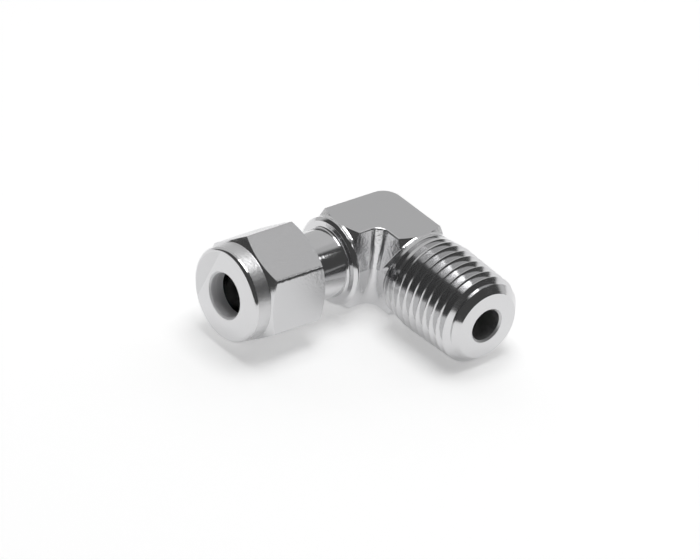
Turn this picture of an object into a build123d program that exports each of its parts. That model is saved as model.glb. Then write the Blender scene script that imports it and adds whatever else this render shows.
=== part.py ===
"""Male elbow tube fitting, in millimetres, +Z up.

The two legs stand at a right angle and their axes cross at the origin. The tube connection points along +X
and the tapered pipe thread along +Y. The forging's parting plane is z = 0. The nut is finger tight, with
both ferrules in it and no tube.
"""

import math
import os

from build123d import *

# The tube, and how freely it passes through each piece (radial clearances)
tube_diameter = 6.35
socket_clearance = 0.045
ferrule_clearance = 0.035
nut_hole_clearance = 0.075

# The forged elbow: a pad with two flats, drafted sides and rounded corners
flat_to_flat = 12.7
pad_width = 7.6
draft_angle = 6.0
outer_corner_radius = 2.6
inner_corner_radius = 1.0
flat_edge_break = 0.2

# What the lathe leaves on both legs, measured from the centre of the elbow
turned_start = 8.0
shoulder_width = 1.15
shoulder_proud = 0.03

# The tube leg outside: shoulder, hollow cone, neck and the nut's thread near its pitch radius
shoulder_cone_width = 0.9
neck_undercut = 0.144
mouth_end = 20.6
mouth_wall = 1.094
nut_thread_length = 4.7
nut_thread_chamfer = 0.5
nut_thread_clearance = 0.1

# The tube leg inside: passage, socket with a stop, and the coned mouth
tube_stop = 11.7
stop_width = 0.82
mouth_angle = 12.0
mouth_flare = 0.78
passage_overrun = 1.2
drill_point_angle = 118.0

# The pipe thread leg: rings at the pitch and taper of an 18 per inch taper thread
pipe_end = 23.8
pipe_pitch = 25.4 / 18
pipe_crest_radius = 6.56
pipe_taper = 1 / 32
pipe_thread_angle = 60.0
pipe_crest_flat = 0.14
last_crest_inset = 2.2
first_groove_space = 1.0
first_groove_share = 0.5
blank_taper = 0.14
nose_chamfer = 1.5
pipe_countersink = 0.28

# The ferrules and how they sit
seat_gap = 0.05
nose_depth = 2.0
ferrule_wall = 1.14
front_ferrule_rim = 1.06
sleeve_length = 1.25
sleeve_root_wall = 0.64
sleeve_tip_wall = 0.24
flange_length = 0.75

# The nut
nut_wall = 1.951
hex_chamfer_angle = 30.0
hex_angle = 36.4
nut_length = 12.3
nut_lip = 2.3
collar_step = 0.245
collar_length = 2.8
collar_edge_radius = 0.6
back_step = 0.195
nut_hole_countersink = 0.25
nut_thread_runout = 2.0
nut_back_countersink = 0.6
cavity_clearance = 0.2
cavity_shoulder = 0.6

# Radii that follow from the ones above, from the tube outwards
socket_radius = tube_diameter / 2 + socket_clearance
ferrule_bore_radius = tube_diameter / 2 + ferrule_clearance
nut_hole_radius = tube_diameter / 2 + nut_hole_clearance
passage_radius = socket_radius - stop_width
mouth_rim_radius = socket_radius + mouth_flare
ferrule_outer_radius = ferrule_bore_radius + ferrule_wall
sleeve_root_radius = ferrule_bore_radius + sleeve_root_wall
sleeve_tip_radius = ferrule_bore_radius + sleeve_tip_wall
cavity_radius = ferrule_outer_radius + cavity_clearance
body_thread_radius = mouth_rim_radius + mouth_wall
nut_thread_radius = body_thread_radius + nut_thread_clearance
neck_radius = body_thread_radius - neck_undercut
hex_flat_radius = nut_thread_radius + nut_wall
collar_radius = hex_flat_radius - collar_step
back_face_radius = hex_flat_radius - back_step

# The forging, and the shoulder that the lathe leaves a hair outside its flats
half_height = flat_to_flat / 2
draft_spread = half_height * math.tan(math.radians(draft_angle))
half_width = pad_width / 2 + draft_spread
shoulder_radius = half_height + shoulder_proud
shoulder_front = turned_start + shoulder_width

# Places along the tube leg, from the mouth outwards
mouth_slope = math.tan(math.radians(mouth_angle))
mouth_start = mouth_end - mouth_flare / mouth_slope
ferrule_nose = mouth_end - nose_depth
nose_outer_radius = socket_radius + (ferrule_nose - mouth_start) * mouth_slope
nose_outer_radius -= seat_gap / math.cos(math.radians(mouth_angle))
ferrule_cone_end = ferrule_nose + (ferrule_outer_radius - nose_outer_radius) / mouth_slope
front_ferrule_back = ferrule_cone_end + front_ferrule_rim
flange_front = front_ferrule_back + seat_gap
flange_back = flange_front + flange_length
back_ferrule_back = flange_back + ferrule_wall
seat_cone_start = flange_back + seat_gap * math.sqrt(2)
lip_back = seat_cone_start + ferrule_outer_radius - nut_hole_radius
nut_face = lip_back + nut_lip
nut_back = nut_face - nut_length
collar_back = nut_face - collar_length

# The pipe thread's form and the places of its first and last whole crests
flank_rise = 1 / math.tan(math.radians(pipe_thread_angle / 2))
pipe_thread_depth = (pipe_pitch - pipe_crest_flat) / 2 * flank_rise
last_crest = pipe_end - last_crest_inset
pipe_crests = int((last_crest - shoulder_front - first_groove_space) / pipe_pitch) + 1
first_crest = last_crest - (pipe_crests - 1) * pipe_pitch


def pipe_cone(y):
    """Radius of the pipe thread's crest cone at y."""
    return pipe_crest_radius + (pipe_end - y) * pipe_taper


def pipe_crest(y):
    """Crest radius at y, which the blank cuts short beside the shoulder."""
    return min(pipe_cone(y), shoulder_radius + (y - shoulder_front) * blank_taper)


def pipe_leg_outline():
    """Half outline of the pipe thread leg as points (radius, y)."""
    first_groove = first_crest - pipe_pitch / 2
    points = [
        (0, turned_start),
        (shoulder_radius, turned_start),
        (shoulder_radius, shoulder_front),
        (pipe_crest(first_groove) - first_groove_share * pipe_thread_depth, first_groove),
    ]
    for number in range(pipe_crests):
        crest = first_crest + number * pipe_pitch
        root = crest + pipe_pitch / 2
        points += [
            (pipe_crest(crest), crest - pipe_crest_flat / 2),
            (pipe_crest(crest), crest + pipe_crest_flat / 2),
            (pipe_cone(root) - pipe_thread_depth, root),
        ]
    nose_radius = pipe_crest_radius - nose_chamfer
    last_root_radius = pipe_cone(root) - pipe_thread_depth
    nose_crest = (nose_radius + pipe_end - last_root_radius + flank_rise * root) / (1 + flank_rise)
    points += [
        (nose_radius + pipe_end - nose_crest, nose_crest),
        (nose_radius, pipe_end),
        (0, pipe_end),
    ]
    return points


with BuildPart() as elbow_body:
    # The forging: two legs of one width, drafted both ways from the parting plane
    stub = turned_start + shoulder_width * 0.7
    with BuildSketch(Plane.XY) as forging_plan:
        with BuildLine():
            Polyline(
                (-half_width, -half_width),
                (stub, -half_width),
                (stub, half_width),
                (half_width, half_width),
                (half_width, stub),
                (-half_width, stub),
                close=True,
            )
        make_face()
        fillet(
            forging_plan.vertices().sort_by_distance((-half_width, -half_width))[0],
            outer_corner_radius + draft_spread,
        )
        fillet(forging_plan.vertices().sort_by_distance((half_width, half_width))[0], inner_corner_radius)
    extrude(amount=half_height, both=True, taper=draft_angle)
    chamfer(elbow_body.faces().filter_by(Axis.Z).edges(), flat_edge_break)

    # Past the shoulder's back the lathe takes everything outside the shoulder's radius
    clearing = half_height + half_width
    with BuildSketch(Plane.XY):
        with BuildLine():
            Polyline(
                (turned_start, shoulder_radius),
                (turned_start + clearing, shoulder_radius),
                (turned_start + clearing, clearing),
                (turned_start, clearing),
                close=True,
            )
        make_face()
    revolve(axis=Axis.X, mode=Mode.SUBTRACT)
    with BuildSketch(Plane.XY):
        with BuildLine():
            Polyline(
                (shoulder_radius, turned_start),
                (clearing, turned_start),
                (clearing, turned_start + clearing),
                (shoulder_radius, turned_start + clearing),
                close=True,
            )
        make_face()
    revolve(axis=Axis.Y, mode=Mode.SUBTRACT)

    # The tube leg: shoulder, a hollow cone in two steps, neck, and the nut's thread as a plain cylinder
    neck_start = shoulder_front + shoulder_cone_width
    shoulder_drop = shoulder_radius - neck_radius
    thread_start = mouth_end - nut_thread_length
    with BuildSketch(Plane.XY):
        with BuildLine():
            Polyline(
                (turned_start, 0),
                (turned_start, shoulder_radius),
                (shoulder_front, shoulder_radius),
                (neck_start - shoulder_cone_width / 2, neck_radius + shoulder_drop / 4),
                (neck_start, neck_radius),
                (thread_start, neck_radius),
                (thread_start + body_thread_radius - neck_radius, body_thread_radius),
                (mouth_end - nut_thread_chamfer, body_thread_radius),
                (mouth_end, body_thread_radius - nut_thread_chamfer),
                (mouth_end, 0),
                close=True,
            )
        make_face()
    revolve(axis=Axis.X)

    # The pipe thread leg
    with BuildSketch(Plane.XY):
        with BuildLine():
            Polyline(*pipe_leg_outline(), close=True)
        make_face()
    revolve(axis=Axis.Y)

    # The drillings: both passages run just past the centre and end in the drill's point
    drill_point = passage_radius / math.tan(math.radians(drill_point_angle / 2))
    with BuildSketch(Plane.XY):
        with BuildLine():
            Polyline(
                (-passage_overrun - drill_point, 0),
                (-passage_overrun, passage_radius),
                (tube_stop, passage_radius),
                (tube_stop, socket_radius),
                (mouth_start, socket_radius),
                (mouth_end, mouth_rim_radius),
                (mouth_end, 0),
                close=True,
            )
        make_face()
    revolve(axis=Axis.X, mode=Mode.SUBTRACT)
    with BuildSketch(Plane.XY):
        with BuildLine():
            Polyline(
                (0, -passage_overrun - drill_point),
                (passage_radius, -passage_overrun),
                (passage_radius, pipe_end - pipe_countersink),
                (passage_radius + pipe_countersink, pipe_end),
                (0, pipe_end),
                close=True,
            )
        make_face()
    revolve(axis=Axis.Y, mode=Mode.SUBTRACT)

with BuildPart() as front_ferrule:
    # The cone seats in the body's mouth, and the back ferrule's sleeve enters the cone behind
    sleeve_slope = (sleeve_root_radius - sleeve_tip_radius) / sleeve_length
    pocket_radius = sleeve_root_radius + seat_gap
    with BuildSketch(Plane.XY):
        with BuildLine():
            Polyline(
                (ferrule_nose, ferrule_bore_radius),
                (ferrule_nose, nose_outer_radius),
                (ferrule_cone_end, ferrule_outer_radius),
                (front_ferrule_back, ferrule_outer_radius),
                (front_ferrule_back, pocket_radius),
                (front_ferrule_back - (pocket_radius - ferrule_bore_radius) / sleeve_slope, ferrule_bore_radius),
                close=True,
            )
        make_face()
    revolve(axis=Axis.X)

with BuildPart() as back_ferrule:
    # A tapered sleeve in front, a flange, and a 45 degree bevel that the nut drives
    with BuildSketch(Plane.XY):
        with BuildLine():
            Polyline(
                (flange_front - sleeve_length, ferrule_bore_radius),
                (flange_front - sleeve_length, sleeve_tip_radius),
                (flange_front, sleeve_root_radius),
                (flange_front, ferrule_outer_radius),
                (flange_back, ferrule_outer_radius),
                (back_ferrule_back, ferrule_bore_radius),
                close=True,
            )
        make_face()
    revolve(axis=Axis.X)

with BuildPart() as nut:
    # Hexagonal bar
    with BuildSketch(Plane.YZ.offset(nut_back)):
        RegularPolygon(radius=hex_flat_radius, side_count=6, major_radius=False, rotation=hex_angle)
    extrude(amount=nut_length)

    # Turned outside: chamfered hexagon at both ends, round collar with a rounded edge
    chamfer_slope = math.tan(math.radians(hex_chamfer_angle))
    bar_radius = hex_flat_radius / math.cos(math.radians(30)) + collar_step
    with BuildSketch(Plane.XY) as turned_outside:
        with BuildLine():
            Polyline(
                (nut_back, 0),
                (nut_back, back_face_radius),
                (nut_back + (bar_radius - back_face_radius) * chamfer_slope, bar_radius),
                (collar_back - (bar_radius - collar_radius) * chamfer_slope, bar_radius),
                (collar_back, collar_radius),
                (nut_face, collar_radius),
                (nut_face, 0),
                close=True,
            )
        make_face()
        fillet(turned_outside.vertices().sort_by_distance((nut_face, collar_radius))[0], collar_edge_radius)
    revolve(axis=Axis.X, mode=Mode.INTERSECT)

    # Bored inside: countersink, thread at its pitch radius, ferrule cavity, seat and tube hole
    thread_end = mouth_end + nut_thread_runout
    with BuildSketch(Plane.XY):
        with BuildLine():
            Polyline(
                (nut_back, 0),
                (nut_back, nut_thread_radius + nut_back_countersink),
                (nut_back + nut_back_countersink, nut_thread_radius),
                (thread_end, nut_thread_radius),
                (thread_end + cavity_shoulder, cavity_radius),
                (seat_cone_start + ferrule_outer_radius - cavity_radius, cavity_radius),
                (lip_back, nut_hole_radius),
                (nut_face - nut_hole_countersink, nut_hole_radius),
                (nut_face, nut_hole_radius + nut_hole_countersink),
                (nut_face, 0),
                close=True,
            )
        make_face()
    revolve(axis=Axis.X, mode=Mode.SUBTRACT)

elbow_body.part.label = "elbow_body"
front_ferrule.part.label = "front_ferrule"
back_ferrule.part.label = "back_ferrule"
nut.part.label = "nut"

os.makedirs("parts", exist_ok=True)
export_step(elbow_body.part, "parts/elbow_body.step")
export_step(front_ferrule.part, "parts/front_ferrule.step")
export_step(back_ferrule.part, "parts/back_ferrule.step")
export_step(nut.part, "parts/nut.step")
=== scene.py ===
"""Male elbow tube fitting: its finished surfaces, studio and camera.

Shapes are made in millimetres in the fitting's own frame: the axes cross at the origin, the tube leg points
along +X, the pipe thread leg along +Y, and +Z is square to both. finished() turns them into metres.
"""

from math import ceil, cos, pi, radians, sin, tan

import bmesh
import bpy
from mathutils import Matrix, Vector


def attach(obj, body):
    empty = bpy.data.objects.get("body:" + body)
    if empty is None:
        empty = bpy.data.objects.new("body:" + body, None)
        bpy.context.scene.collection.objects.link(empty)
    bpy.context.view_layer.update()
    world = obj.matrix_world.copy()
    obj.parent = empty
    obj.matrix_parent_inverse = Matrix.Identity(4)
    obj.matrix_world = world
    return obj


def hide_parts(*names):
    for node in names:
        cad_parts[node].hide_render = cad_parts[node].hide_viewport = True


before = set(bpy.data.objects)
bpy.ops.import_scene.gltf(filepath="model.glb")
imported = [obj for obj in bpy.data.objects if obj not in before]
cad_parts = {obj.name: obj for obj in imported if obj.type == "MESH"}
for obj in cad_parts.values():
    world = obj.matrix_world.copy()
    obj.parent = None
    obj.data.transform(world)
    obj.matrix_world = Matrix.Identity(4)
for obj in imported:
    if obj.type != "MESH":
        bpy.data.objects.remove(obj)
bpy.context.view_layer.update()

MM = 0.001
ALONG_X = Matrix.Identity(4)
ALONG_Y = Matrix.Rotation(radians(90), 4, "Z")

# How finely round shapes are drawn, how near two points are to be one, how near a point is to a plane to lie
# on it, and how far a blank or a cutter reaches past the face that it meets
TURN_STEPS = 128
ARC_STEPS = 8
ROUNDING_STEPS = 4
EDGE_SEGMENTS = 3
SAME_POINT = 1e-4
ON_PLANE = 1e-6
OVERRUN = 1.0

# Shading: an edge bent by more than SMOOTH_ANGLE is crisp, and so are the parting line and the rim of any flat
# of more than BROAD_AREA, from a smaller bend on
SMOOTH_ANGLE = radians(28)
PARTING_ANGLE = radians(5)
PARTING_GAP = 0.001
RIM_ANGLE = radians(1.5)
BROAD_AREA = 4.0

# Threads: half of the 60 degree form, the spare turns that a rod is made with, and how many of them lie before
# its start
FLANK_ANGLE = radians(30)
SPARE_TURNS = 3
LEAD_TURNS = 2

# The forging. A face whose normal is this near to +Z or -Z belongs to one of its flats.
HALF_HEIGHT = 6.35
HALF_WIDTH = 4.467
DRAFT = 0.667
OUTER_CORNER = 3.27
INNER_CORNER = 1.0
FLAT_EDGE = 0.22
FLAT_NORMAL = 0.99
LEG_OVERLAP = 0.1

# The round shoulder on both legs
SHOULDER_RADIUS = 6.38
SHOULDER_FRONT = 9.15
SHOULDER_BACK = 8.8
SHOULDER_EDGE = 0.12

# The forged hub that leads from the pad's walls to a shoulder
HUB_START = 5.5
HUB_FRONT = SHOULDER_FRONT - 0.1
HUB_ROOT = HALF_WIDTH - 0.05
HUB_FILLET = 1.7

# The slope on the pad's corners down to a shoulder: how far back from it and out from it the slope's foot, its
# knee and its top are, with the top as far back as out
SLOPE_FOOT = 0.3
SLOPE_FOOT_OUT = 0.1
SLOPE_KNEE = 1.15
SLOPE_KNEE_OUT = 1.0
SLOPE_TOP = 3.0
SLOPE_ROUNDING = 0.25

# The turned skin of the tube leg's shoulder, whose core lies inside the forging, and the neck behind the nut
CORE_START = 7.0
CORE_RADIUS = 3.0
SKIN_BACK = SHOULDER_BACK + 0.15
SKIN_RADIUS = SHOULDER_RADIUS + 0.01
SKIN_EDGE = 0.08
SHOULDER_CHAMFER = 0.43
CHAMFER_EDGE = 0.1
FACE_SLOPE = 0.06
NECK_RADIUS = 4.95
NECK_FILLET = 0.42
NECK_OVERLAP = 0.5
MOUTH_END = 20.6

# The nut's thread, and its mate in the nut: the same helix with a gap all round
NUT_THREAD_PITCH = 1.27
NUT_THREAD_CREST = 5.53
NUT_THREAD_DEPTH = 0.67
NUT_THREAD_FLAT = 0.16
NUT_THREAD_START = 15.9
NUT_ROD_START = 15.0
NUT_ROD_END = 22.0
THREAD_GAP = 0.07
FLAT_GAP = 0.03
ROOT_GAP = 0.02

# The blank of that thread, with a chamfer at its back and at its mouth
THREAD_BLANK_RADIUS = 5.6
THREAD_BACK_RADIUS = 4.8
THREAD_BACK_CHAMFER = 0.8
THREAD_MOUTH_RADIUS = 4.85
THREAD_MOUTH_CHAMFER = 0.75

# The bores
SOCKET_RADIUS = 3.22
TUBE_STOP = 11.7
MOUTH_START = 16.93
MOUTH_RIM = 4.0
PASSAGE_RADIUS = 2.4
PASSAGE_OVERRUN = 1.2
DRILL_POINT = radians(118)

# The pipe thread, and its blank, which widens from the shoulder until it meets the cone of the crests
PIPE_END = 23.8
PIPE_PITCH = 25.4 / 18
PIPE_CREST = 6.56
PIPE_TAPER = 1 / 32
PIPE_CREST_FLAT = 0.12
PIPE_ROOT_FLAT = 0.09
PIPE_ROD_START = 8.0
BLANK_START = 8.5
BLANK_START_RADIUS = SHOULDER_RADIUS - 0.1
BLANK_TAPER = 0.14
NOSE_RADIUS = 5.06
NOSE_EDGE = 0.05
COUNTERSINK = 0.28

# The nut's outside. HEX_CHAMFER is how far a chamfer moves along the leg for each millimetre of radius, and a
# face of the collar is round where its normal leans along the leg by less than COLLAR_NORMAL.
NUT_BACK = 15.52
NUT_FACE = 27.82
NUT_BLANK_RADIUS = 9.0
HEX_FLAT = 7.145
HEX_EDGE = 0.35
HEX_ANGLE = radians(36.4)
HEX_CORNER = HEX_FLAT / cos(radians(30))
HEX_CHAMFER = tan(radians(30))
COLLAR_BACK = 25.02
COLLAR_RADIUS = 6.9
COLLAR_FILLET = 0.15
COLLAR_EDGE = 0.6
COLLAR_NORMAL = 0.5
BACK_FACE_RADIUS = 6.95
BACK_FACE_EDGE = 0.1

# The nut's inside, from the chamfer that leads into its thread to the broken edge of its hole
LEAD_IN_RIM = 0.2
LEAD_IN_DEPTH = 0.8
THREAD_RUNOUT = 22.6
RUNOUT_STEP = 0.6
CAVITY_RADIUS = 4.55
SEAT_START = 24.42
LIP_BACK = 25.52
NUT_HOLE = 3.25
HOLE_CHAMFER = 0.25
HOLE_EDGE = 0.1

# Both ferrules, and then the front one and the back one
FERRULE_BORE = 3.21
FERRULE_OUTER = 4.35
FERRULE_NOSE_EDGE = 0.03
FERRULE_BACK_EDGE = 0.08

FRONT_NOSE = 18.6
FRONT_NOSE_OUTER = 3.524
FRONT_CONE_END = 22.487
FRONT_CONE_EDGE = 0.1
FRONT_BACK = 23.547
FRONT_SEAT_RADIUS = 3.9
FRONT_SEAT_EDGE = 0.05
FRONT_SEAT_END = 21.39

FLANGE_FRONT = 23.597
FLANGE_FRONT_EDGE = 0.06
FLANGE_BACK = 24.347
BACK_NOSE = FLANGE_FRONT - 1.25
BACK_NOSE_OUTER = 3.45
BACK_NOSE_ROOT = 3.85

# The camera: direction, roll, distance and scale fitted to the photograph's own features
CAMERA_AZIMUTH = radians(136.95)
CAMERA_ELEVATION = radians(32.16)
CAMERA_ROLL = radians(7.88)
CAMERA_DISTANCE = 1000.0
SENSOR_WIDTH = 36.0
PIXELS_PER_MM = 7.112
FRAME_WIDTH = 700
ORIGIN_RIGHT = 29.43 / PIXELS_PER_MM
ORIGIN_UP = 35.87 / PIXELS_PER_MM

# The three points the fitting lies on: the forging's lower corner, the nut's rim and the thread's end
REST_POINTS = (Vector((-3.2, -3.2, -6.35)), Vector((23.4, -0.9, -8.1)), Vector((0, 22.5, -6.6)))

# How far the floor reaches from where it touches the fitting, and how much it glows
FLOOR_REACH = 3000.0
FLOOR_GLOW = 0.36

# The studio's bright patches: direction from the fitting, the angle in degrees up to which a patch has its
# full strength, the angle where it has faded out, and its radiance
CEILING = ((-0.42, -0.42, 0.80), 36, 46, 0.52)
WALL = ((-0.66, -0.66, 0.15), 59, 69, 0.62)
STRIP = ((-0.578, 0.44, 0.69), 3, 5, 2.2)
SIDE = ((0.70, -0.62, -0.30), 18, 30, 1.0)
ROOM_RADIANCE = 0.07

# The soft box above the fitting
LAMP_HEIGHT = 500.0
LAMP_WIDTH = 300.0
LAMP_POWER = 1.2


def linear(hex_colour):
    """An sRGB hex colour as linear RGBA."""
    channels = [int(hex_colour[i:i + 2], 16) / 255 for i in (1, 3, 5)]
    return [c / 12.92 if c <= 0.04045 else ((c + 0.055) / 1.055) ** 2.4 for c in channels] + [1.0]


def add_node(tree, kind, settings=None, links=None, values=None):
    """Adds a node with its settings, the links into it and the fixed values of its other inputs."""
    node = tree.nodes.new(kind)
    for name, value in (settings or {}).items():
        setattr(node, name, value)
    for name, socket in (links or {}).items():
        tree.links.new(socket, node.inputs[name])
    for name, value in (values or {}).items():
        node.inputs[name].default_value = value
    return node


def feed_marks(tree, place, size, leg):
    """Rings left by the lathe: noise that changes only along a leg's axis and with the distance from it."""
    along = add_node(tree, "ShaderNodeSeparateXYZ", links={"Vector": place}).outputs[leg]
    across = add_node(tree, "ShaderNodeVectorMath", {"operation": "MULTIPLY"}, {0: place},
                      {1: (leg != "X", leg != "Y", 1)})
    radius = add_node(tree, "ShaderNodeVectorMath", {"operation": "LENGTH"}, {0: across.outputs[0]})
    spot = add_node(tree, "ShaderNodeCombineXYZ", links={"X": along, "Y": radius.outputs["Value"]})
    marks = add_node(tree, "ShaderNodeTexNoise", {"noise_dimensions": "2D"}, {"Vector": spot.outputs[0]},
                     {"Scale": 1 / size, "Detail": 2.0})
    return marks.outputs[0]


def grain(tree, place, size, leg):
    """An even pebbled grain, as tumbling and the forging die leave it. It is the same along either leg."""
    pebbles = add_node(tree, "ShaderNodeTexNoise", links={"Vector": place},
                       values={"Scale": 1 / size, "Detail": 3.0})
    return pebbles.outputs[0]


def stainless(name, colour, roughness, marks, size_mm, depth_mm, leg="X"):
    """Stainless steel with the relief of the way it was made."""
    material = bpy.data.materials.new(name)
    material.use_nodes = True
    tree = material.node_tree
    tree.nodes.clear()
    place = add_node(tree, "ShaderNodeTexCoord").outputs["Object"]
    relief = add_node(tree, "ShaderNodeBump", links={"Height": marks(tree, place, size_mm * MM, leg)},
                      values={"Distance": depth_mm * MM})
    shader = add_node(tree, "ShaderNodeBsdfPrincipled", links={"Normal": relief.outputs["Normal"]},
                      values={"Base Color": linear(colour), "Metallic": 1.0, "Roughness": roughness})
    add_node(tree, "ShaderNodeOutputMaterial", links={"Surface": shader.outputs["BSDF"]})
    return material


# Turned faces: nearly a mirror, with faint rings that break up its reflections. Ring spacings here are about
# twice the lathe's feed, because the true spacing is finer than a pixel.
TURNED = stainless("turned_stainless", "#D5D5D6", 0.12, feed_marks, size_mm=0.3, depth_mm=0.007)
TURNED_PIPE_LEG = stainless("turned_stainless_pipe_leg", "#D5D5D6", 0.12, feed_marks, size_mm=0.3,
                            depth_mm=0.007, leg="Y")
# Cut threads: bright flanks with faint tool marks
THREADED = stainless("threaded_stainless", "#D5D5D6", 0.12, feed_marks, size_mm=0.16, depth_mm=0.002)
THREADED_PIPE_LEG = stainless("threaded_stainless_pipe_leg", "#D5D5D6", 0.12, feed_marks, size_mm=0.16,
                              depth_mm=0.002, leg="Y")
# Forged walls after tumbling, with a soft pebbled surface that blurs what they mirror. Their bright base
# colour is lighter than the flats' of the same steel: painted light standing in for the lit floor that the
# walls mirror.
FORGED_PAINTED_LIGHTER = stainless("forged_stainless_painted_lighter", "#DDDDDE", 0.18, grain, size_mm=0.5, depth_mm=0.04)
# Flats struck by the die: an even satin grey
STRUCK = stainless("die_struck_stainless", "#C8C8C9", 0.3, grain, size_mm=0.3, depth_mm=0.002)
# Bores as drilled and reamed: coarse rings that scatter light out of the hole. The tube leg's bore and the
# nut's bore also get a paler base colour than the pipe leg's bore: painted light on the walls of those holes.
DRILLED_PAINTED_LIGHTER = stainless("drilled_stainless", "#ECECED", 0.75, feed_marks, size_mm=0.4, depth_mm=0.1)
DRILLED_PIPE_LEG = stainless("drilled_stainless_pipe_leg", "#D0D0D1", 0.45, feed_marks, size_mm=0.4,
                             depth_mm=0.03, leg="Y")
# Hexagon flats as drawn and tumbled: pale, with a crinkled grain
DRAWN = stainless("drawn_bar_stainless", "#CECECF", 0.22, grain, size_mm=0.4, depth_mm=0.032)
# The nut's collar, rolled after turning: a softer band that blurs the dark of the room
ROLLED = stainless("rolled_collar_stainless", "#D2D2D3", 0.36, grain, size_mm=0.4, depth_mm=0.04)
SURFACES = (TURNED, TURNED_PIPE_LEG, THREADED, THREADED_PIPE_LEG, FORGED_PAINTED_LIGHTER, STRUCK, DRILLED_PAINTED_LIGHTER, DRILLED_PIPE_LEG,
            DRAWN, ROLLED)


def rounded(corners):
    """Points of an outline whose corners are (along, radius, rounding)."""
    points = []
    for number, (along, radius, rounding) in enumerate(corners):
        here = Vector((along, radius))
        if not rounding:
            points.append(here)
            continue
        before = (Vector(corners[number - 1][:2]) - here).normalized()
        after = (Vector(corners[number + 1][:2]) - here).normalized()
        half = before.angle(after) / 2
        start = here + before * rounding / tan(half)
        end = here + after * rounding / tan(half)
        centre = here + (before + after).normalized() * rounding / sin(half)
        for step in range(ROUNDING_STEPS + 1):
            spoke = ((start - centre).lerp(end - centre, step / ROUNDING_STEPS)).normalized()
            points.append(centre + spoke * rounding)
    return points


def turned(corners, axis=ALONG_X, surface=TURNED):
    """A solid turned about a leg's axis from a half outline of (along, radius, rounding)."""
    bm = bmesh.new()
    verts = [bm.verts.new((point.x, point.y, 0)) for point in rounded(corners)]
    edges = [bm.edges.new(pair) for pair in zip(verts, verts[1:])]
    if corners[0][1] or corners[-1][1]:
        edges.append(bm.edges.new((verts[-1], verts[0])))
    bmesh.ops.spin(bm, geom=verts + edges, cent=(0, 0, 0), axis=(1, 0, 0), angle=2 * pi, steps=TURN_STEPS,
                   use_merge=True)
    return settled(bm, axis, surface)


def settled(bm, axis, surface):
    """Merges doubles, lays the shape on its axis, turns faces outwards and gives them their surface."""
    bmesh.ops.remove_doubles(bm, verts=bm.verts, dist=SAME_POINT)
    bmesh.ops.transform(bm, matrix=axis, verts=bm.verts)
    bmesh.ops.recalc_face_normals(bm, faces=bm.faces)
    for face in bm.faces:
        face.material_index = SURFACES.index(surface)
    return bm


def threaded_rod(crest, depth, pitch, crest_flat, start, end, taper=0.0, axis=ALONG_X, surface=THREADED):
    """A rod with a true right-hand 60 degree thread. A tapered one has its crest radius at PIPE_END."""
    bm = bmesh.new()
    slope = depth * tan(FLANK_ANGLE)
    root_flat = pitch - crest_flat - 2 * slope
    stations = [(0, crest - depth), (root_flat, crest - depth), (root_flat + slope, crest),
                (root_flat + slope + crest_flat, crest), (pitch, crest - depth)]
    turns = ceil((end - start) / pitch) + SPARE_TURNS
    first = start - LEAD_TURNS * pitch
    verts = [bm.verts.new((first + along, radius, 0)) for along, radius in stations]
    edges = [bm.edges.new(pair) for pair in zip(verts, verts[1:])]
    bmesh.ops.spin(bm, geom=verts + edges, cent=(0, 0, 0), axis=(1, 0, 0), dvec=(pitch / TURN_STEPS, 0, 0),
                   angle=2 * pi * turns, steps=TURN_STEPS * turns, use_merge=False)
    bmesh.ops.remove_doubles(bm, verts=bm.verts, dist=SAME_POINT)
    for vert in bm.verts:
        vert.co.yz = vert.co.yz * (1 - taper * (vert.co.x - PIPE_END) / crest)
    for place, side in ((start, -1), (end, 1)):
        cut = bmesh.ops.bisect_plane(bm, geom=bm.verts[:] + bm.edges[:] + bm.faces[:], dist=ON_PLANE,
                                     plane_co=(place, 0, 0), plane_no=(side, 0, 0), clear_outer=True)
        rim = [item for item in cut["geom_cut"] if isinstance(item, bmesh.types.BMEdge)]
        bmesh.ops.edgeloop_fill(bm, edges=rim)
    return settled(bm, axis, surface)


def combined(base, operation, tool):
    """base joined with, cut by or limited to tool. Both are used up."""
    carriers = []
    for shape in (base, tool):
        mesh = bpy.data.meshes.new("shape")
        shape.to_mesh(mesh)
        shape.free()
        for material in SURFACES:
            mesh.materials.append(material)
        carriers.append(bpy.data.objects.new("shape", mesh))
        bpy.context.scene.collection.objects.link(carriers[-1])
    modifier = carriers[0].modifiers.new("boolean", "BOOLEAN")
    modifier.operation = operation
    modifier.solver = "EXACT"
    modifier.object = carriers[1]
    evaluated = carriers[0].evaluated_get(bpy.context.evaluated_depsgraph_get())
    mesh = bpy.data.meshes.new_from_object(evaluated)
    result = bmesh.new()
    result.from_mesh(mesh)
    bpy.data.meshes.remove(mesh)
    for carrier in carriers:
        bpy.data.meshes.remove(carrier.data)
    return result


def on_parting_plane(edge):
    """Whether an edge is where the forging's two drafted halves meet, which stays crisp."""
    level = max(abs(vert.co.z) for vert in edge.verts) < PARTING_GAP * MM
    return level and edge.calc_face_angle(0) > PARTING_ANGLE


def rims_flat(edge):
    """Whether an edge bounds a broad flat, whose shading must not bend towards the curve beside it."""
    broad = max(face.calc_area() for face in edge.link_faces) > BROAD_AREA * MM ** 2
    return broad and edge.calc_face_angle(0) > RIM_ANGLE


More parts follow.
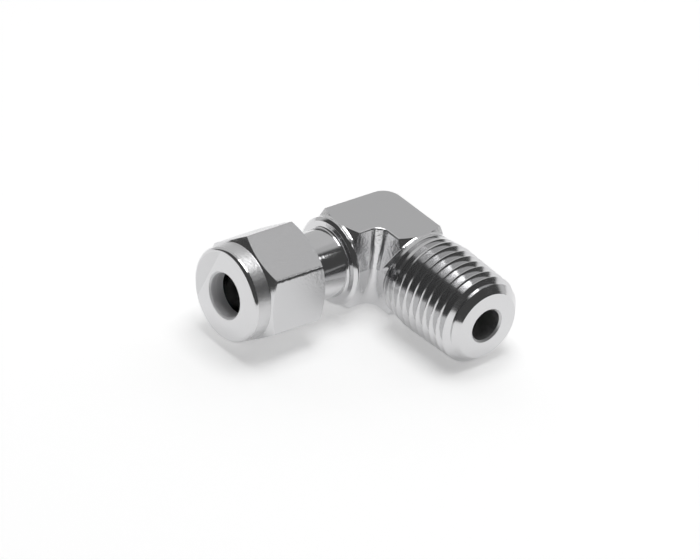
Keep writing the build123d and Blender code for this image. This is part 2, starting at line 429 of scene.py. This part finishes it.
def finished(bm, name, body, node):
    """Turns a shape into a piece in metres that rides on its body and stands for its CAD node."""
    bmesh.ops.remove_doubles(bm, verts=bm.verts, dist=SAME_POINT)
    bmesh.ops.scale(bm, vec=(MM, MM, MM), verts=bm.verts)
    for face in bm.faces:
        face.smooth = True
    for edge in bm.edges:
        gentle = edge.calc_face_angle(0) < SMOOTH_ANGLE
        edge.smooth = gentle and not on_parting_plane(edge) and not rims_flat(edge)
    mesh = bpy.data.meshes.new(name)
    bm.to_mesh(mesh)
    bm.free()
    for material in SURFACES:
        mesh.materials.append(material)
    piece = bpy.data.objects.new(name, mesh)
    bpy.context.scene.collection.objects.link(piece)
    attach(piece, body)
    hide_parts(node)


def arc(centre, radius, start, end):
    """Points on an arc in the plan, from one angle to another in degrees."""
    angles = [radians(start + (end - start) * step / ARC_STEPS) for step in range(ARC_STEPS + 1)]
    return [Vector((centre + radius * cos(angle), centre + radius * sin(angle))) for angle in angles]


def forging_plan(inset):
    """Plan of the forging with its sides moved in by inset, as points with rounded corners."""
    side = HALF_WIDTH - inset
    outer = OUTER_CORNER - inset
    inner = INNER_CORNER + inset
    end = SHOULDER_BACK + LEG_OVERLAP
    points = arc(outer - side, outer, 180, 270)
    points += [Vector((end, -side)), Vector((end, side))]
    points += arc(side + inner, inner, 270, 180)
    points += [Vector((side, end)), Vector((-side, end))]
    return points


def forging():
    """The forged elbow: drafted both ways from the parting plane, with softened edges on its flats."""
    bm = bmesh.new()
    loops = []
    for height, inset in ((-HALF_HEIGHT, DRAFT), (0, 0), (HALF_HEIGHT, DRAFT)):
        verts = [bm.verts.new((point.x, point.y, height)) for point in forging_plan(inset)]
        loops.append([bm.edges.new(pair) for pair in zip(verts, verts[1:] + verts[:1])])
    bmesh.ops.bridge_loops(bm, edges=loops[0] + loops[1])
    bmesh.ops.bridge_loops(bm, edges=loops[1] + loops[2])
    for rim in (loops[0], loops[2]):
        bmesh.ops.edgeloop_fill(bm, edges=rim)
    bmesh.ops.recalc_face_normals(bm, faces=bm.faces)
    bmesh.ops.bevel(bm, geom=loops[0] + loops[2], affect="EDGES", offset=FLAT_EDGE, segments=EDGE_SEGMENTS,
                    profile=0.5, material=-1)
    settled(bm, ALONG_X, FORGED_PAINTED_LIGHTER)
    # The walls keep the forged steel's lighter colour, which is painted light; the flats get the struck grey.
    for face in bm.faces:
        if abs(face.normal.z) > FLAT_NORMAL:
            face.material_index = SURFACES.index(STRUCK)
    return bm


def corner_cutter(axis):
    """What is taken off the pad's corners so that they slope down to a leg's round shoulder."""
    top = SHOULDER_RADIUS + SLOPE_TOP
    front = SHOULDER_FRONT + OVERRUN
    return turned([
        (SHOULDER_BACK, SHOULDER_RADIUS, 0),
        (SHOULDER_BACK - SLOPE_FOOT, SHOULDER_RADIUS + SLOPE_FOOT_OUT, SLOPE_ROUNDING),
        (SHOULDER_BACK - SLOPE_KNEE, SHOULDER_RADIUS + SLOPE_KNEE_OUT, 0),
        (SHOULDER_BACK - SLOPE_TOP, top, 0), (front, top, 0), (front, SHOULDER_RADIUS, 0)], axis, FORGED_PAINTED_LIGHTER)


def hub(axis):
    """The forged hub of a leg, filleted out to the round shoulder."""
    return turned([
        (HUB_START, 0, 0), (HUB_START, HUB_ROOT, 0), (SHOULDER_BACK, HUB_ROOT, HUB_FILLET),
        (SHOULDER_BACK, SHOULDER_RADIUS, SHOULDER_EDGE), (HUB_FRONT, SHOULDER_RADIUS, 0), (HUB_FRONT, 0, 0)],
        axis, FORGED_PAINTED_LIGHTER)


def shoulder_and_neck():
    """The tube leg's turned skin: the shoulder's chamfer and face, and the neck up to the nut's thread."""
    face = SHOULDER_FRONT + SHOULDER_CHAMFER
    end = NUT_THREAD_START + NECK_OVERLAP
    return turned([
        (CORE_START, 0, 0), (CORE_START, CORE_RADIUS, 0), (SKIN_BACK, CORE_RADIUS, 0),
        (SKIN_BACK, SKIN_RADIUS, 0), (SHOULDER_FRONT, SKIN_RADIUS, SKIN_EDGE),
        (face, SHOULDER_RADIUS - SHOULDER_CHAMFER, CHAMFER_EDGE),
        (face + FACE_SLOPE, NECK_RADIUS, NECK_FILLET), (end, NECK_RADIUS, 0), (end, 0, 0)])


def nut_thread():
    """The thread that the nut turns on, chamfered at both ends."""
    rod = threaded_rod(NUT_THREAD_CREST, NUT_THREAD_DEPTH, NUT_THREAD_PITCH, NUT_THREAD_FLAT, NUT_ROD_START,
                       NUT_ROD_END)
    blank = turned([
        (NUT_THREAD_START, 0, 0), (NUT_THREAD_START, THREAD_BACK_RADIUS, 0),
        (NUT_THREAD_START + THREAD_BACK_CHAMFER, THREAD_BLANK_RADIUS, 0),
        (MOUTH_END - THREAD_MOUTH_CHAMFER, THREAD_BLANK_RADIUS, 0), (MOUTH_END, THREAD_MOUTH_RADIUS, 0),
        (MOUTH_END, 0, 0)], surface=THREADED)
    return combined(rod, "INTERSECT", blank)


def pipe_cone(y):
    """Radius of the pipe thread's crest cone at y."""
    return PIPE_CREST + (PIPE_END - y) * PIPE_TAPER


def pipe_thread():
    """The tapered pipe thread: partial crests beside the shoulder, full ones after them, and the nose."""
    depth = (PIPE_PITCH - PIPE_CREST_FLAT - PIPE_ROOT_FLAT) / 2 / tan(FLANK_ANGLE)
    rod = threaded_rod(PIPE_CREST, depth, PIPE_PITCH, PIPE_CREST_FLAT, PIPE_ROD_START, PIPE_END + OVERRUN,
                       PIPE_TAPER, ALONG_Y, THREADED_PIPE_LEG)
    meet = PIPE_CREST + PIPE_END * PIPE_TAPER - SHOULDER_RADIUS + SHOULDER_FRONT * BLANK_TAPER
    meet /= BLANK_TAPER + PIPE_TAPER
    nose_start = PIPE_END - (PIPE_CREST - NOSE_RADIUS) / (1 - PIPE_TAPER)
    blank = turned([
        (BLANK_START, 0, 0), (BLANK_START, BLANK_START_RADIUS, 0), (SHOULDER_FRONT, SHOULDER_RADIUS, 0),
        (meet, pipe_cone(meet), 0), (nose_start, pipe_cone(nose_start), 0), (PIPE_END, NOSE_RADIUS, NOSE_EDGE),
        (PIPE_END, 0, 0)], ALONG_Y, TURNED_PIPE_LEG)
    return combined(rod, "INTERSECT", blank)


def bores():
    """The drills for both legs: the tube's coned mouth, socket and stop, and the passage round the corner."""
    point = PASSAGE_RADIUS / tan(DRILL_POINT / 2)
    tip = [(-PASSAGE_OVERRUN - point, 0, 0), (-PASSAGE_OVERRUN, PASSAGE_RADIUS, 0)]
    mouth = MOUTH_END + OVERRUN
    slope = (MOUTH_RIM - SOCKET_RADIUS) / (MOUTH_END - MOUTH_START)
    # The tube leg's bore takes the paler drilled colour, which is painted light in the hole.
    tube_leg = turned(tip + [
        (TUBE_STOP, PASSAGE_RADIUS, 0), (TUBE_STOP, SOCKET_RADIUS, 0), (MOUTH_START, SOCKET_RADIUS, 0),
        (mouth, MOUTH_RIM + slope * OVERRUN, 0), (mouth, 0, 0)], surface=DRILLED_PAINTED_LIGHTER)
    end = PIPE_END + OVERRUN
    pipe_leg = turned(tip + [
        (PIPE_END - COUNTERSINK, PASSAGE_RADIUS, 0), (end, PASSAGE_RADIUS + COUNTERSINK + OVERRUN, 0),
        (end, 0, 0)], ALONG_Y, DRILLED_PIPE_LEG)
    return tube_leg, pipe_leg


def elbow_body():
    """The body: forging, shoulders, neck and both threads in one piece, bored through."""
    body = forging()
    for axis in (ALONG_X, ALONG_Y):
        body = combined(body, "DIFFERENCE", corner_cutter(axis))
        body = combined(body, "UNION", hub(axis))
    for feature in (shoulder_and_neck(), nut_thread(), pipe_thread()):
        body = combined(body, "UNION", feature)
    for drill in bores():
        body = combined(body, "DIFFERENCE", drill)
    finished(body, "elbow_body_finish", "fitting_body", "elbow_body")


def hexagon_bar():
    """The hexagon bar that the nut is made from, as long as the nut, with softened corners."""
    bar = bmesh.new()
    length = NUT_FACE - NUT_BACK
    bmesh.ops.create_circle(bar, cap_ends=True, segments=6, radius=HEX_CORNER)
    lift = bmesh.ops.extrude_face_region(bar, geom=bar.faces[:])
    lifted = [item for item in lift["geom"] if isinstance(item, bmesh.types.BMVert)]
    bmesh.ops.translate(bar, vec=(0, 0, length), verts=lifted)
    corners = [edge for edge in bar.edges if abs(edge.verts[0].co.z - edge.verts[1].co.z) > length / 2]
    bmesh.ops.bevel(bar, geom=corners, affect="EDGES", offset=HEX_EDGE, segments=EDGE_SEGMENTS, profile=0.5,
                    material=-1)
    lay = Matrix.Rotation(HEX_ANGLE, 4, "X") @ Matrix.Rotation(radians(90), 4, "Y")
    return settled(bar, Matrix.Translation((NUT_BACK, 0, 0)) @ lay, DRAWN)


def nut_outside():
    """The nut's turned outline: chamfers on both ends of the hexagon, and the round collar."""
    outside = turned([
        (NUT_BACK, 0, 0), (NUT_BACK, BACK_FACE_RADIUS, BACK_FACE_EDGE),
        (NUT_BACK + (NUT_BLANK_RADIUS - BACK_FACE_RADIUS) * HEX_CHAMFER, NUT_BLANK_RADIUS, 0),
        (COLLAR_BACK - (NUT_BLANK_RADIUS - COLLAR_RADIUS) * HEX_CHAMFER, NUT_BLANK_RADIUS, 0),
        (COLLAR_BACK, COLLAR_RADIUS, COLLAR_FILLET), (NUT_FACE, COLLAR_RADIUS, COLLAR_EDGE), (NUT_FACE, 0, 0)])
    for face in outside.faces:
        on_collar = COLLAR_BACK < face.calc_center_median().x < NUT_FACE - COLLAR_EDGE
        if on_collar and abs(face.normal.x) < COLLAR_NORMAL:
            face.material_index = SURFACES.index(ROLLED)
    return outside


def nut_inside():
    """What is cut out of the nut: its thread, the ferrules' cavity and seat, and the hole for the tube."""
    back = NUT_BACK - OVERRUN
    face = NUT_FACE + OVERRUN
    crest = NUT_THREAD_CREST + THREAD_GAP
    rim = crest + LEAD_IN_RIM
    thread = threaded_rod(crest, NUT_THREAD_DEPTH, NUT_THREAD_PITCH, NUT_THREAD_FLAT + FLAT_GAP, back,
                          THREAD_RUNOUT)
    bore = turned([
        (back, 0, 0), (back, rim + OVERRUN, 0), (NUT_BACK + LEAD_IN_DEPTH, rim - LEAD_IN_DEPTH, 0),
        (THREAD_RUNOUT, crest - NUT_THREAD_DEPTH - ROOT_GAP, 0),
        (THREAD_RUNOUT + RUNOUT_STEP, CAVITY_RADIUS, 0),
        (SEAT_START + FERRULE_OUTER - CAVITY_RADIUS, CAVITY_RADIUS, 0), (LIP_BACK, NUT_HOLE, 0),
        (NUT_FACE - HOLE_CHAMFER, NUT_HOLE, HOLE_EDGE), (NUT_FACE, NUT_HOLE + HOLE_CHAMFER, 0),
        (face, NUT_HOLE + HOLE_CHAMFER + OVERRUN, 0), (face, 0, 0)], surface=DRILLED_PAINTED_LIGHTER)
    return combined(thread, "UNION", bore)


def tube_nut():
    """The nut: hexagon bar turned at both ends, bored and threaded."""
    nut = combined(hexagon_bar(), "INTERSECT", nut_outside())
    nut = combined(nut, "DIFFERENCE", nut_inside())
    finished(nut, "nut_finish", "tube_nut", "nut")


def ferrules():
    """The two ferrules, each a turned ring."""
    front = turned([
        (FRONT_NOSE, FERRULE_BORE, 0), (FRONT_NOSE, FRONT_NOSE_OUTER, FERRULE_NOSE_EDGE),
        (FRONT_CONE_END, FERRULE_OUTER, FRONT_CONE_EDGE), (FRONT_BACK, FERRULE_OUTER, FERRULE_BACK_EDGE),
        (FRONT_BACK, FRONT_SEAT_RADIUS, FRONT_SEAT_EDGE), (FRONT_SEAT_END, FERRULE_BORE, 0)])
    back = turned([
        (BACK_NOSE, FERRULE_BORE, 0), (BACK_NOSE, BACK_NOSE_OUTER, FERRULE_NOSE_EDGE),
        (FLANGE_FRONT, BACK_NOSE_ROOT, 0), (FLANGE_FRONT, FERRULE_OUTER, FLANGE_FRONT_EDGE),
        (FLANGE_BACK, FERRULE_OUTER, FERRULE_BACK_EDGE),
        (FLANGE_BACK + FERRULE_OUTER - FERRULE_BORE, FERRULE_BORE, 0)])
    finished(front, "front_ferrule_finish", "ferrules", "front_ferrule")
    finished(back, "back_ferrule_finish", "ferrules", "back_ferrule")


def camera_axes():
    """Right, up and backward directions of the camera in the fitting's frame."""
    reach = cos(CAMERA_ELEVATION)
    back = Vector((sin(CAMERA_AZIMUTH) * reach, -cos(CAMERA_AZIMUTH) * reach, sin(CAMERA_ELEVATION)))
    level = Vector((cos(CAMERA_AZIMUTH), sin(CAMERA_AZIMUTH), 0))
    above = back.cross(level)
    right = level * cos(CAMERA_ROLL) + above * sin(CAMERA_ROLL)
    return right, back.cross(right), back


def camera():
    """A long lens at the photograph's viewing angle."""
    right, up, back = camera_axes()
    data = bpy.data.cameras.new("camera")
    data.sensor_width = SENSOR_WIDTH
    data.lens = PIXELS_PER_MM * CAMERA_DISTANCE / FRAME_WIDTH * SENSOR_WIDTH
    eye = bpy.data.objects.new("camera", data)
    bpy.context.scene.collection.objects.link(eye)
    place = back * CAMERA_DISTANCE - right * ORIGIN_RIGHT - up * ORIGIN_UP
    turn = Matrix((right, up, back)).transposed().to_4x4()
    eye.matrix_world = Matrix.Translation(place * MM) @ turn
    bpy.context.scene.camera = eye


def white_sweep():
    """Matt white paper with a little glow, which only the camera and mirror reflections see."""
    material = bpy.data.materials.new("white_sweep")
    material.use_nodes = True
    tree = material.node_tree
    tree.nodes.clear()
    matte = add_node(tree, "ShaderNodeBsdfDiffuse", values={"Color": linear("#F8F8F8")})
    path = add_node(tree, "ShaderNodeLightPath")
    seen = path.outputs["Is Camera Ray"]
    for ray in ("Is Glossy Ray", "Is Transmission Ray"):
        either = add_node(tree, "ShaderNodeMath", {"operation": "MAXIMUM"}, {0: seen, 1: path.outputs[ray]})
        seen = either.outputs[0]
    strength = add_node(tree, "ShaderNodeMath", {"operation": "MULTIPLY"}, {0: seen}, {1: FLOOR_GLOW})
    glow = add_node(tree, "ShaderNodeEmission", links={"Strength": strength.outputs[0]},
                    values={"Color": (1, 1, 1, 1)})
    both = add_node(tree, "ShaderNodeAddShader", links={0: matte.outputs[0], 1: glow.outputs[0]})
    add_node(tree, "ShaderNodeOutputMaterial", links={"Surface": both.outputs[0]})
    return material


def floor():
    """A white sweep that the fitting lies on, tilted to touch its three low points."""
    first, second, third = REST_POINTS
    normal = (second - first).cross(third - first).normalized()
    if normal.z < 0:
        normal = -normal
    bm = bmesh.new()
    bmesh.ops.create_grid(bm, x_segments=1, y_segments=1, size=FLOOR_REACH)
    turn = normal.to_track_quat("Z", "Y").to_matrix().to_4x4()
    bmesh.ops.transform(bm, matrix=Matrix.Translation(first) @ turn, verts=bm.verts)
    bmesh.ops.scale(bm, vec=(MM, MM, MM), verts=bm.verts)
    mesh = bpy.data.meshes.new("floor")
    bm.to_mesh(mesh)
    bm.free()
    sheet = bpy.data.objects.new("floor", mesh)
    bpy.context.scene.collection.objects.link(sheet)
    mesh.materials.append(white_sweep())


def lamp():
    """A soft box straight above the fitting, facing down."""
    data = bpy.data.lights.new("overhead", "AREA")
    data.shape = "RECTANGLE"
    data.size = LAMP_WIDTH * MM
    data.size_y = LAMP_WIDTH * MM
    data.energy = LAMP_POWER
    box = bpy.data.objects.new("overhead", data)
    bpy.context.scene.collection.objects.link(box)
    box.matrix_world = Matrix.Translation((0, 0, LAMP_HEIGHT * MM))


def patch(tree, towards, centre, full, none, radiance):
    """A soft-edged bright patch of the room round a direction."""
    closeness = add_node(tree, "ShaderNodeVectorMath", {"operation": "DOT_PRODUCT"}, {0: towards},
                         {1: Vector(centre).normalized()})
    fade = add_node(tree, "ShaderNodeMapRange", {"interpolation_type": "SMOOTHSTEP"},
                    {"Value": closeness.outputs["Value"]},
                    {"From Min": cos(radians(none)), "From Max": cos(radians(full)), "To Max": radiance})
    return fade.outputs[0]


def studio():
    """A dim room with a soft ceiling and a pale wall behind, so that the steel reflects light and dark."""
    world = bpy.data.worlds.new("studio")
    bpy.context.scene.world = world
    world.use_nodes = True
    tree = world.node_tree
    tree.nodes.clear()
    towards = add_node(tree, "ShaderNodeTexCoord").outputs["Generated"]
    brightest = {"operation": "MAXIMUM"}
    room = patch(tree, towards, *CEILING)
    for light in (WALL, STRIP, SIDE):
        glow = patch(tree, towards, *light)
        room = add_node(tree, "ShaderNodeMath", brightest, {0: room, 1: glow}).outputs[0]
    room = add_node(tree, "ShaderNodeMath", brightest, {0: room}, {1: ROOM_RADIANCE}).outputs[0]
    sky = add_node(tree, "ShaderNodeBackground", links={"Strength": room}, values={"Color": (1, 1, 1, 1)})
    add_node(tree, "ShaderNodeOutputWorld", links={"Surface": sky.outputs[0]})


elbow_body()
tube_nut()
ferrules()
camera()
floor()
lamp()
studio()

bpy.context.scene.view_settings.view_transform = "Standard"
